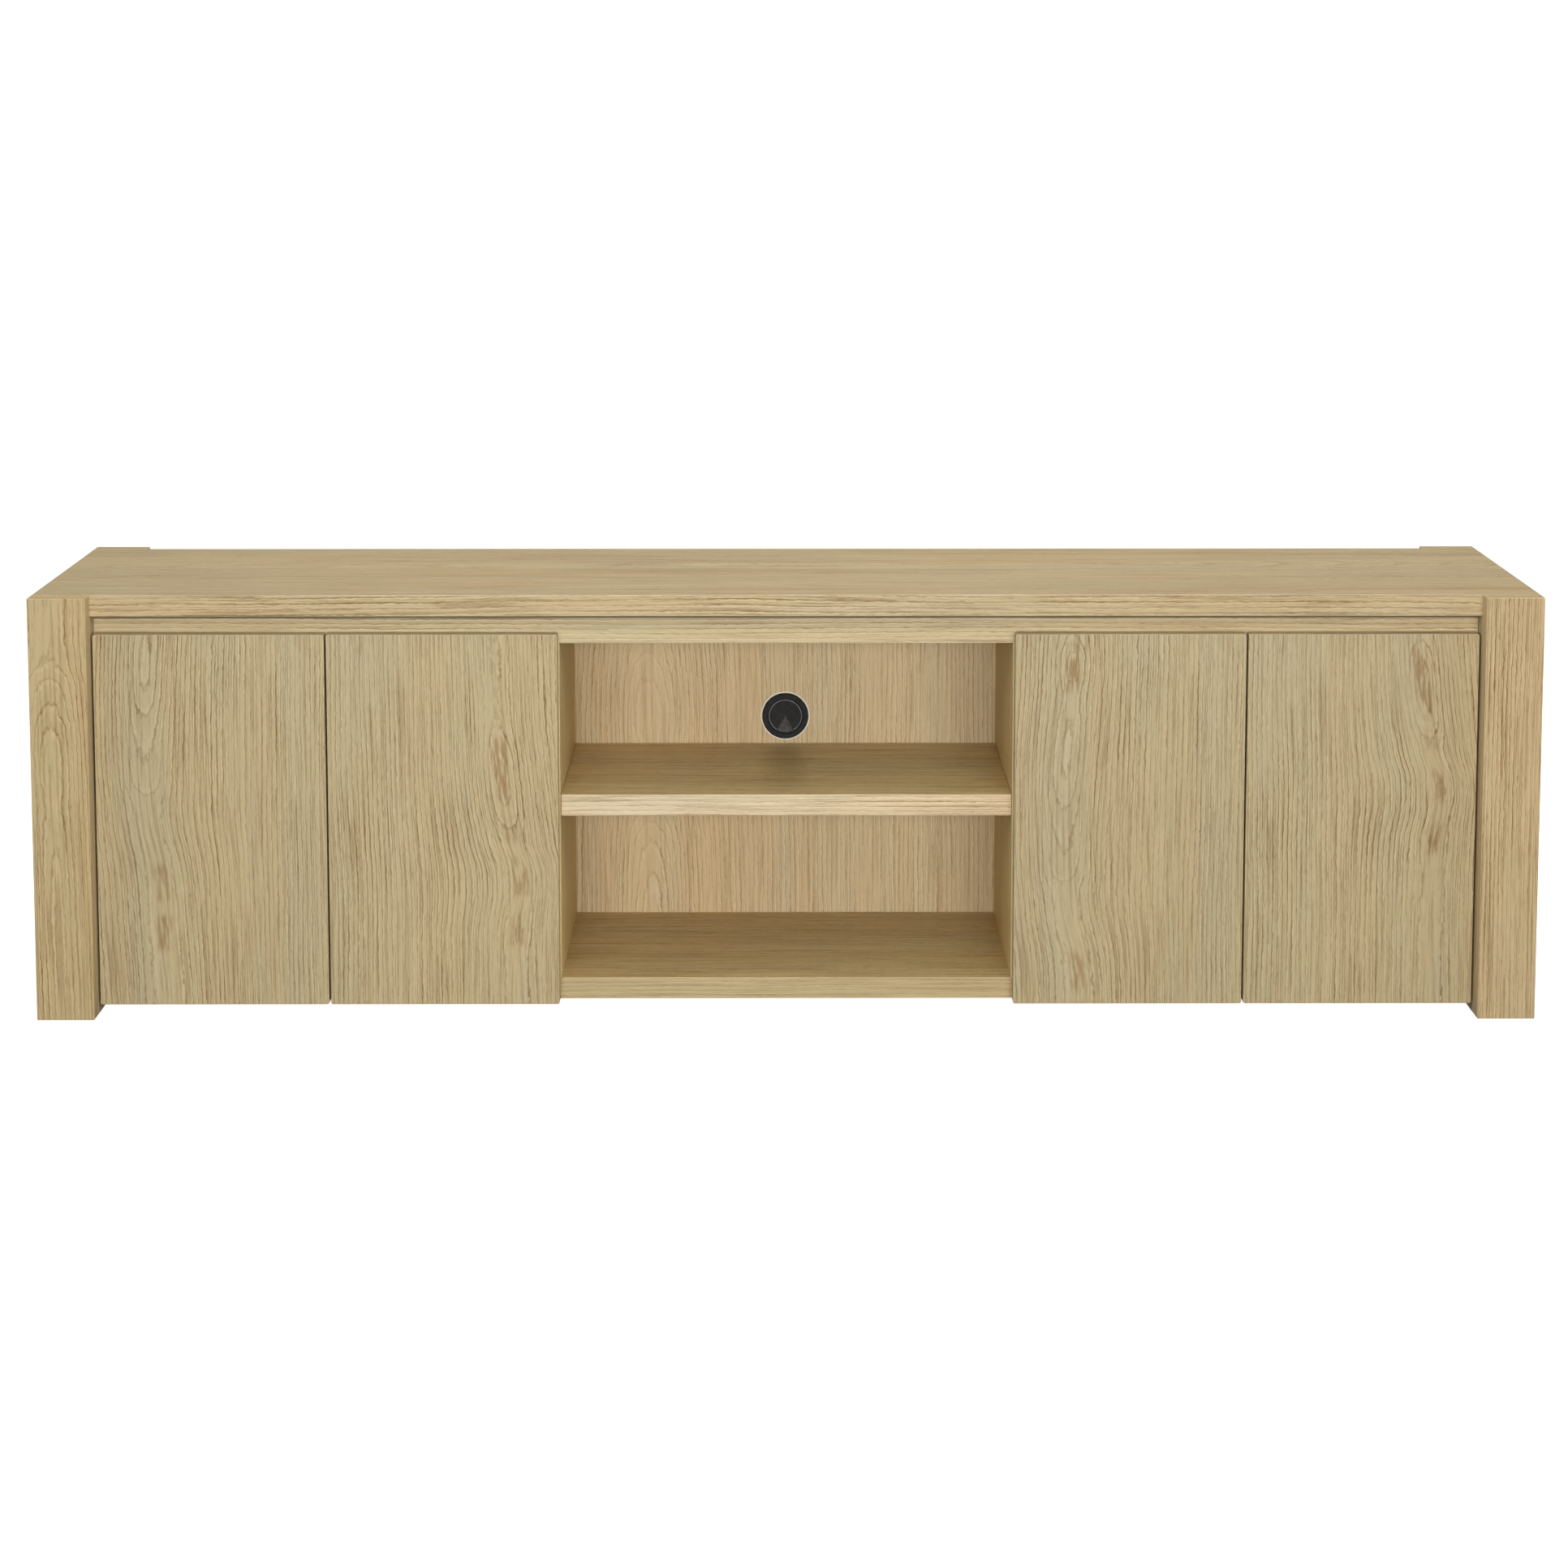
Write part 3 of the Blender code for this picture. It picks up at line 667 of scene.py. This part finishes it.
def veneer_colour(g, plan, place, found, rub_and_highlight, fy):
    """The ground's tints, then brown, lines and pores, rubbed edges with a painted highlight,
    painted shade at the joint under a board above, and the board's tint of painted light and
    shade.
    """
    ground = g.mix(found["Tint"], KHAKI, TAN)
    ground = g.mix(g.product(found["Edge"], EDGE_COVER), ground, PALE)
    for name, output in (("fibre_tone", "Fibre"), ("cloud_tone", "Patch")):
        ground = g.mix(1.0, ground, g.grey(g.blend(name, found[output])), "MULTIPLY")
    ground = g.mix(g.product(found["Brown"], BROWN_COVER), ground, BROWN)
    ground = g.mix(g.product(found["Streak"], plan["streak"]), ground, BROWN)
    dark = g.product(found["Line"], LINE_COVER)
    dark = g.math("MULTIPLY_ADD", found["Pore"], PORE_COVER, dark, clamp=True)
    colour = g.mix(dark, ground, LINE)
    # Paler edges: partly rubbed veneer, partly a painted highlight along each edge.
    colour = g.mix(g.product(rub_and_highlight, RUB_AND_HIGHLIGHT_COVER), colour, PALE)
    # Painted shade: a dark band along the board's top, where the board above shades it over
    # the joint.
    height = g.split(place)[2]
    middle, half = plan["box"]
    seam_level = middle[2] + half[2] - SEAM_SHADE_HEIGHT
    seam = g.smooth(height, seam_level - SEAM_SHADE_SOFTNESS, seam_level)
    colour = g.mix(g.product(seam, plan["seam"]), colour, SEAM_SHADE)
    # The board's tint: painted light and shade, set apart on its front faces, with some hue.
    return g.mix(1.0, colour, g.mix(fy, plan["tint"], plan["front_tint"]), "MULTIPLY")


def oak_material(name, plan):
    """One board's veneer.

    The plan gives the way its grain runs, the place and rise of its figure along it, and
    its own tint of painted light and shade, contrast and ring spacing.
    """
    material, g = empty_material(name)
    place, across, along, seed, fy = grain_place(g, plan)
    found = board_figure(g, plan, across, along, seed, fy)
    rub_and_highlight = rubbed_and_highlit_edges(g, plan, place)
    colour = veneer_colour(g, plan, place, found, rub_and_highlight, fy)
    rough = g.math("MULTIPLY_ADD", found["Fibre"], FIBRE_ROUGHNESS, plan["rough"])
    rough = g.math("MULTIPLY_ADD", found["Pore"], PORE_ROUGHNESS, rough)
    rough = g.math("MULTIPLY_ADD", rub_and_highlight, WORN_ROUGHNESS, rough)
    depth = g.product(found["Line"], LINE_HEIGHT)
    depth = g.math("MULTIPLY_ADD", found["Pore"], PORE_HEIGHT, depth)
    depth = g.math("MULTIPLY_ADD", found["Fibre"], FIBRE_HEIGHT, depth)
    g.finish(colour, rough, g.bump(depth, *VENEER_BUMP), VENEER_SHINE)
    return material


def plan_for(node, **given):
    """A board's plan, with the plain straight grain where nothing else is given."""
    low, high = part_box(node)
    grain = given.get("grain", "upright")
    line = 2 if grain == "upright" else 0
    ends = (low[line] / MM, high[line] / MM)
    plan = {
        "grain": grain,
        "box": (tuple((low + high) / 2), tuple((high - low) / 2)),
        "span": (low[line], high[line]),
        "heart": [(end, 0.0) for end in ends],
        "heart_from": PLAIN_HEART_FROM,
        "rise": list(zip(ends, PLAIN_RISE)),
        "spots": [(end, 0.0) for end in ends],
        "spacing": 5.8,
        "wander": 1.0,
        "jag": 1.0 if grain == "upright" else 0.45,
        "contrast": 1.0,
        "tint": NEUTRAL,
        "streak": 0.05,
        "seam": 0.0,
        "rough": 0.44,
        "seed": random.uniform(*SEED_RANGE),
    }
    plan.update(given)
    plan.setdefault("front_tint", plan["tint"])
    plan.setdefault("front_contrast", plan["contrast"])
    return plan


def door_plan(node, kind, shift=0, tint=NEUTRAL):
    """A door's plan, with one of the two figures moved down by the shift."""
    low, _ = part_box(node)
    figure = DOOR_FIGURES[kind]
    points = {
        name: [(DOOR_TOP / MM - s - shift, value) for s, value in reversed(figure[name])]
        for name in ("rise", "heart", "spots")
    }
    return plan_for(
        node,
        span=(points["rise"][0][0] * MM, points["rise"][-1][0] * MM),
        heart_from=low.x + figure["heart_base"] * MM,
        contrast=DOOR_CONTRAST,
        seed=figure["seed"],
        tint=tint,
        **points,
    )


def board_plans():
    """Every oak board's plan, by CAD node."""
    plans = {
        "left_outer_door": door_plan("left_outer_door", "arch"),
        "right_inner_door": door_plan(
            "right_inner_door", "arch", RIGHT_ARCH_SHIFT, RIGHT_DOORS_PAINTED_SHADE
        ),
        "left_inner_door": door_plan("left_inner_door", "eye"),
        "right_outer_door": door_plan(
            "right_outer_door", "eye", RIGHT_EYE_SHIFT, RIGHT_DOORS_PAINTED_SHADE
        ),
        "left_front_post": plan_for(
            "left_front_post",
            heart=[(0, 30), (513, 24)],
            heart_from=-0.9,
            rise=[
                (0, 2), (93, 3), (173, 4), (233, 7), (258, 9), (303, 6), (351, 10),
                (378, 16), (413, 22), (434, 28), (513, 29),
            ],
            seed=5.1,
            tint=LEFT_POST,
        ),
        "right_front_post": plan_for(
            "right_front_post", spacing=5.2, wander=0.6, contrast=1.25, tint=RIGHT_POST
        ),
        "top_panel": plan_for(
            "top_panel",
            grain="level",
            heart=[(-900, 40), (900, 60)],
            heart_from=0.0,
            rise=[(-900, 60), (0, 20), (900, 70)],
            spacing=7.0,
            contrast=0.9,
            front_contrast=1.3,
            streak=0.3,
            tint=TOP_PAINTED_SHADE,
            front_tint=TOP_EDGE_PAINTED_LIGHT,
        ),
        # The rail's top gets painted shade under the top panel.
        "top_rail": plan_for(
            "top_rail", grain="level", contrast=0.85, wander=0.7, tint=RAIL_PAINTED_LIGHT, seam=0.8
        ),
        "bottom_panel": plan_for(
            "bottom_panel",
            grain="level",
            contrast=1.5,
            front_contrast=0.65,
            streak=0.25,
            tint=BOTTOM_PAINTED_LIGHT,
            front_tint=BOTTOM_EDGE,
            rough=0.26,
        ),
        "center_shelf": plan_for(
            "center_shelf",
            grain="level",
            contrast=1.5,
            front_contrast=1.05,
            streak=0.25,
            tint=SHADED_PAINTED_LIGHT,
            front_tint=SHELF_EDGE_PAINTED_LIGHT,
            rough=0.26,
        ),
        "center_back_panel": plan_for(
            "center_back_panel",
            heart=[(39, 100), (451, 96)],
            heart_from=-0.2725,
            rise=[(39, 8), (120, 16), (200, 30), (300, 20), (390, 32), (451, 46)],
            spacing=6.0,
            contrast=0.8,
            tint=BACKS_PAINTED_LIGHT,
        ),
    }
    plain_upright = {"rear_post": NEUTRAL, "divider": SHADED_PAINTED_LIGHT, "back_panel": BACKS_PAINTED_LIGHT}
    for side in ("left", "right"):
        for name, tint in plain_upright.items():
            node = f"{side}_{name}"
            plans[node] = plan_for(node, contrast=0.8, tint=tint)
        for name in ("outer_panel", "inner_panel"):
            node = f"{side}_{name}"
            plans[node] = plan_for(
                node,
                heart=[(0, 40), (513, 70)],
                heart_from=-0.06,
                rise=[(0, 4), (200, 20), (513, 64)],
                contrast=0.85,
            )
        node = f"{side}_shelf"
        plans[node] = plan_for(node, grain="level", contrast=0.7)
    return plans


def plain_material(name, colour, rough, metallic, grit, scale, strength, shine=0.5):
    """Metal or plastic with a fine uneven surface and slightly rubbed high spots."""
    material, g = empty_material(name)
    place = g.node("ShaderNodeTexCoord").outputs["Object"]
    cloud = g.noise(place, *CLOUD_NOISE, scale)
    fine = g.noise(place, *FINE_NOISE, scale * FINE_SCALE)
    lighter = tuple(min(1.0, c * (1 + grit) + WORN_LIFT) for c in colour)
    darker = tuple(c * (1 - grit) for c in colour)
    base = g.mix(g.smooth(cloud, *CLOUD_STEP), darker, lighter)
    least = rough - CLOUD_ROUGHNESS / 2
    roughness = g.math("MULTIPLY_ADD", cloud, CLOUD_ROUGHNESS, least)
    roughness = g.math("MULTIPLY_ADD", fine, FINE_ROUGHNESS, roughness)
    bump = g.bump(fine, strength, PLAIN_BUMP_DEPTH)
    g.finish(base, roughness, bump, shine, metallic)
    return material


def dress(node, material):
    """Gives a CAD node its finished material."""
    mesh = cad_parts[node].data
    mesh.materials.clear()
    mesh.materials.append(material)


def dress_boards():
    for node, plan in board_plans().items():
        dress(node, oak_material(f"oak_{node}", plan))


def turned_rings(bm, rings, place, axis):
    """Joins rings of points round an axis. Each ring lists its (radius, height) by angle.

    A ring whose radii are all 0 becomes one point.
    """
    axis = Vector(axis).normalized()
    side = axis.orthogonal().normalized()
    other = axis.cross(side)
    made = []
    for ring in rings:
        count = 1 if max(radius for radius, _ in ring) == 0.0 else len(ring)
        row = []
        for index in range(count):
            radius, height = ring[index]
            angle = 2 * math.pi * index / len(ring)
            spoke = math.cos(angle) * side + math.sin(angle) * other
            point = Vector(place) + radius * spoke + height * axis
            row.append(bm.verts.new(point * MM))
        made.append(row)
    for inner, outer in zip(made, made[1:]):
        total = max(len(inner), len(outer))
        if total == 1:
            continue
        for index in range(total):
            following = (index + 1) % total
            corners = []
            for row, order in ((inner, (following, index)), (outer, (index, following))):
                for place_in_row in order:
                    corner = row[place_in_row % len(row)]
                    if corner not in corners:
                        corners.append(corner)
            bm.faces.new(corners)


def lathe(bm, profile, sides, place, axis):
    """A turned solid from a profile of (radius, height) in millimetres."""
    turned_rings(bm, [[point] * sides for point in profile], place, axis)


def screw_head(bm, place, axis, radius):
    """A pan head with a cross recess, its base on the surface at place."""
    rings = [[(0.0, SCREW_MIDDLE * radius)] * SCREW_SIDES]
    step = SCREW_SIDES // RECESS_ARMS
    for share, height, sunk in SCREW_RINGS:
        ring = []
        for index in range(SCREW_SIDES):
            in_arm = (index + 1) % step <= RECESS_ARM_SIDES
            ring.append((share * radius, (sunk if in_arm else height) * radius))
        rings.append(ring)
    rings.append([(0.0, 0.0)] * SCREW_SIDES)
    turned_rings(bm, rings, place, axis)


def piece(name, bm, body, material, smooth=True):
    """Turns a mesh in metres into a shown piece that rides a body."""
    bmesh.ops.recalc_face_normals(bm, faces=bm.faces)
    mesh = bpy.data.meshes.new(name)
    bm.to_mesh(mesh)
    bm.free()
    mesh.materials.append(material)
    if smooth:
        mesh.shade_smooth()
        mesh.set_sharp_from_angle(angle=SMOOTH_ANGLE)
    made = bpy.data.objects.new(name, mesh)
    bpy.context.scene.collection.objects.link(made)
    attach(made, body)


def build_hinge_fasteners(steel):
    """Screws on the cups and mounting plates, and the pin through each knuckle."""
    for door in DOORS:
        low, high = (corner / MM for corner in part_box(f"{door}_door"))
        inward = 1 if door in HINGED_ON_LEFT else -1
        hinge_x = low.x if inward > 0 else high.x
        plate = PLATE_ON_SIDE if door.endswith("outer") else PLATE_ON_DIVIDER
        cups, plates, pins = bmesh.new(), bmesh.new(), bmesh.new()
        for height in HINGE_HEIGHTS:
            for way in (-1, 1):
                level = height + way * CUP_SCREW_REACH
                place = (hinge_x + inward * CUP_ACROSS, low.y + WING_FACE, level)
                screw_head(cups, place, (0, 1, 0), HINGE_SCREW_RADIUS)
                level = height + way * PLATE_SCREW_REACH
                place = (hinge_x + inward * plate, low.y + PLATE_DEEP, level)
                screw_head(plates, place, (inward, 0, 0), HINGE_SCREW_RADIUS)
            place = (hinge_x + inward * KNUCKLE_ACROSS, low.y + KNUCKLE_DEEP, height)
            lathe(pins, PIN_PROFILE, PIN_SIDES, place, (0, 0, 1))
        piece(f"{door}_cup_screws", cups, f"{door}_door", steel)
        piece(f"{door}_plate_screws", plates, "carcass", steel)
        piece(f"{door}_knuckle_pins", pins, f"{door}_hinge_links", steel)


def build_bumpers(rubber):
    """A soft dot in both free corners of each door's back."""
    for door in DOORS:
        low, high = (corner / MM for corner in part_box(f"{door}_door"))
        free_on_right = door in HINGED_ON_LEFT
        across = high.x - BUMPER_IN if free_on_right else low.x + BUMPER_IN
        dots = bmesh.new()
        for level in (low.z + BUMPER_UP, high.z - BUMPER_DOWN):
            lathe(dots, BUMPER_PROFILE, BUMPER_SIDES, (across, high.y, level), (0, 1, 0))
        piece(f"{door}_door_bumpers", dots, f"{door}_door", rubber)


def build_back_screws(steel):
    """Screws through the back panels into the bottom, the shelf and the dividers."""
    heads = bmesh.new()
    for places, heights in BACK_SCREWS:
        for x in places:
            for z in heights:
                screw_head(heads, (x, BACK_PANEL_REAR, z), (0, 1, 0), BACK_SCREW_RADIUS)
    piece("back_panel_screws", heads, "carcass", steel)


def grommet_point(angle, radius, depth):
    """A point in metres, at an angle from straight down and a distance from the centre."""
    x, z = GROMMET_CENTRE
    out = Vector((math.sin(angle), 0, -math.cos(angle)))
    return (Vector((x, depth, z)) + radius * out) * MM


def build_cut_edge(wood):
    """The pale cut edge of the back panel's hole, round the grommet's ring."""
    x, z = GROMMET_CENTRE
    halo = bmesh.new()
    lathe(halo, HALO_PROFILE, HALO_SIDES, (x, BACK_PANEL_FACE, z), (0, -1, 0))
    piece("grommet_cut_edge", halo, "carcass", wood)


def build_cap_rim(plastic):
    """The raised rim on the cap's face, from one side of its notch to the other."""
    rim = bmesh.new()
    sections = []
    start = math.radians(NOTCH_HALF_ANGLE + RIM_MARGIN)
    for step in range(RIM_STEPS + 1):
        angle = start + (2 * math.pi - 2 * start) * step / RIM_STEPS
        row = []
        for corner in range(RIM_SIDES):
            turn = 2 * math.pi * corner / RIM_SIDES
            radius = RIM_RADIUS + RIM_HALF_WIDTH * math.cos(turn)
            depth = CAP_FACE - RIM_RISE - RIM_HALF_DEPTH * math.sin(turn)
            row.append(rim.verts.new(grommet_point(angle, radius, depth)))
        sections.append(row)
    for first, second in zip(sections, sections[1:]):
        for corner in range(RIM_SIDES):
            following = (corner + 1) % RIM_SIDES
            rim.faces.new(
                (first[corner], first[following], second[following], second[corner])
            )
    rim.faces.new(sections[0])
    rim.faces.new(sections[-1])
    piece("grommet_cap_rim", rim, "grommet_cap", plastic)


def build_skirt(plastic):
    """The folded skirt in the cap's notch: a front and a back layer of pleats."""
    x, z = GROMMET_CENTRE
    skirt = bmesh.new()
    layers = []
    for depth in (SKIRT_FACE, SKIRT_FACE + SKIRT_THICKNESS):
        tip = skirt.verts.new(Vector((x, depth, z + SKIRT_TIP)) * MM)
        row = []
        for fold in range(SKIRT_FOLDS + 1):
            angle = math.radians(SKIRT_HALF_ANGLE * (2 * fold / SKIRT_FOLDS - 1))
            pleat = SKIRT_PLEAT if fold % 2 else 0.0
            point = grommet_point(angle, SKIRT_REACH, depth + pleat)
            row.append(skirt.verts.new(point))
        layers.append((tip, row))
    (front_tip, front), (back_tip, back) = layers
    for fold in range(SKIRT_FOLDS):
        skirt.faces.new((front_tip, front[fold], front[fold + 1]))
        skirt.faces.new((back_tip, back[fold + 1], back[fold]))
        skirt.faces.new((front[fold], back[fold], back[fold + 1], front[fold + 1]))
    skirt.faces.new((front_tip, back_tip, back[0], front[0]))
    skirt.faces.new((front_tip, front[-1], back[-1], back_tip))
    piece("grommet_skirt", skirt, "grommet_cap", plastic, smooth=False)


def dress_fittings():
    """Finishes the steel and plastic nodes and adds their small parts."""
    steel = plain_material(
        "plated_steel", STEEL, rough=0.32, metallic=1.0, grit=0.1, scale=60.0, strength=0.2
    )
    zinc = plain_material(
        "zinc_screws", ZINC, rough=0.38, metallic=1.0, grit=0.14, scale=200.0, strength=0.3
    )
    black = plain_material(
        "black_plastic", BLACK, rough=0.42, metallic=0.0, grit=0.3, scale=120.0,
        strength=0.3, shine=0.16,
    )
    folded = plain_material(
        "grommet_skirt", SKIRT_GREY, rough=0.34, metallic=0.0, grit=0.5, scale=420.0,
        strength=0.5, shine=0.8,
    )
    rubber = plain_material(
        "soft_dots", SOFT_GREY, rough=0.35, metallic=0.0, grit=0.08, scale=200.0, strength=0.1
    )
    pale = plain_material(
        "cut_veneer_edge", CUT_EDGE, rough=0.7, metallic=0.0, grit=0.08, scale=260.0,
        strength=0.6,
    )
    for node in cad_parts:
        if "hinge" in node or "pin" in node:
            dress(node, steel)
        elif "grommet" in node or "foot" in node:
            dress(node, black)
    build_hinge_fasteners(zinc)
    build_bumpers(rubber)
    build_back_screws(zinc)
    build_cut_edge(pale)
    build_cap_rim(folded)
    build_skirt(folded)


def build_world():
    world = bpy.data.worlds.new("studio")
    bpy.context.scene.world = world
    world.use_nodes = True
    background = world.node_tree.nodes["Background"]
    background.inputs["Color"].default_value = WHITE
    background.inputs["Strength"].default_value = WORLD_STRENGTH


def build_floor():
    """A pale floor with a glow, so that it is seen as white with almost no shadow."""
    bpy.ops.mesh.primitive_circle_add(
        vertices=FLOOR_SIDES, radius=FLOOR_RADIUS, fill_type="NGON"
    )
    floor = bpy.context.object
    floor.name = "floor"
    material = bpy.data.materials.new("studio_floor")
    material.use_nodes = True
    shader = material.node_tree.nodes["Principled BSDF"]
    shader.inputs["Base Color"].default_value = FLOOR_TONE
    shader.inputs["Roughness"].default_value = FLOOR_ROUGHNESS
    shader.inputs["Specular IOR Level"].default_value = 0.0
    shader.inputs["Emission Color"].default_value = WHITE
    shader.inputs["Emission Strength"].default_value = FLOOR_GLOW
    floor.data.materials.append(material)
    return floor


def build_dome():
    """A white backdrop on every side, which casts no shadow."""
    bpy.ops.mesh.primitive_uv_sphere_add(
        segments=DOME_SEGMENTS, ring_count=DOME_RINGS, radius=DOME_RADIUS
    )
    dome = bpy.context.object
    dome.name = "backdrop"
    dome.visible_shadow = False
    material, g = empty_material("studio_white")
    glow = g.node("ShaderNodeEmission")
    glow.inputs["Strength"].default_value = DOME_GLOW
    output = g.node("ShaderNodeOutputMaterial")
    g.put(output.inputs["Surface"], glow.outputs[0])
    dome.data.materials.append(material)
    return dome


def build_stage():
    build_world()
    floor, dome = build_floor(), build_dome()
    for hidden in (floor, dome):
        hidden.visible_diffuse = False
        hidden.visible_glossy = False


def build_lights():
    """Soft lights. The rear one has no glare, which would wash out the top panel."""
    for name, (place, size, watts) in LIGHTS.items():
        light = bpy.data.lights.new(name, "AREA")
        light.shape = "RECTANGLE"
        light.size, light.size_y = size
        light.energy = watts
        lamp = bpy.data.objects.new(name, light)
        lamp.location = place
        direction = Vector(LIGHT_AIM) - Vector(place)
        lamp.rotation_euler = direction.to_track_quat("-Z", "Y").to_euler()
        lamp.visible_camera = False
        lamp.visible_glossy = name != "rear"
        bpy.context.scene.collection.objects.link(lamp)


def build_camera():
    camera = bpy.data.cameras.new("camera")
    camera.sensor_width = SENSOR_WIDTH
    camera.lens = CAMERA_LENS
    camera.shift_y = CAMERA_SHIFT
    holder = bpy.data.objects.new("camera", camera)
    right = Vector((math.cos(CAMERA_YAW), math.sin(CAMERA_YAW), 0.0))
    level = Vector((-math.sin(CAMERA_YAW), math.cos(CAMERA_YAW), 0.0))
    ahead = math.cos(CAMERA_PITCH) * level + math.sin(CAMERA_PITCH) * Vector((0, 0, 1))
    up = right.cross(ahead)
    turn = Matrix((right, up, -ahead)).transposed().to_4x4()
    holder.matrix_world = Matrix.Translation(CAMERA_PLACE) @ turn
    bpy.context.scene.collection.objects.link(holder)
    bpy.context.scene.camera = holder


dress_boards()
dress_fittings()
build_stage()
build_lights()
build_camera()
bpy.context.scene.view_settings.view_transform = "Standard"
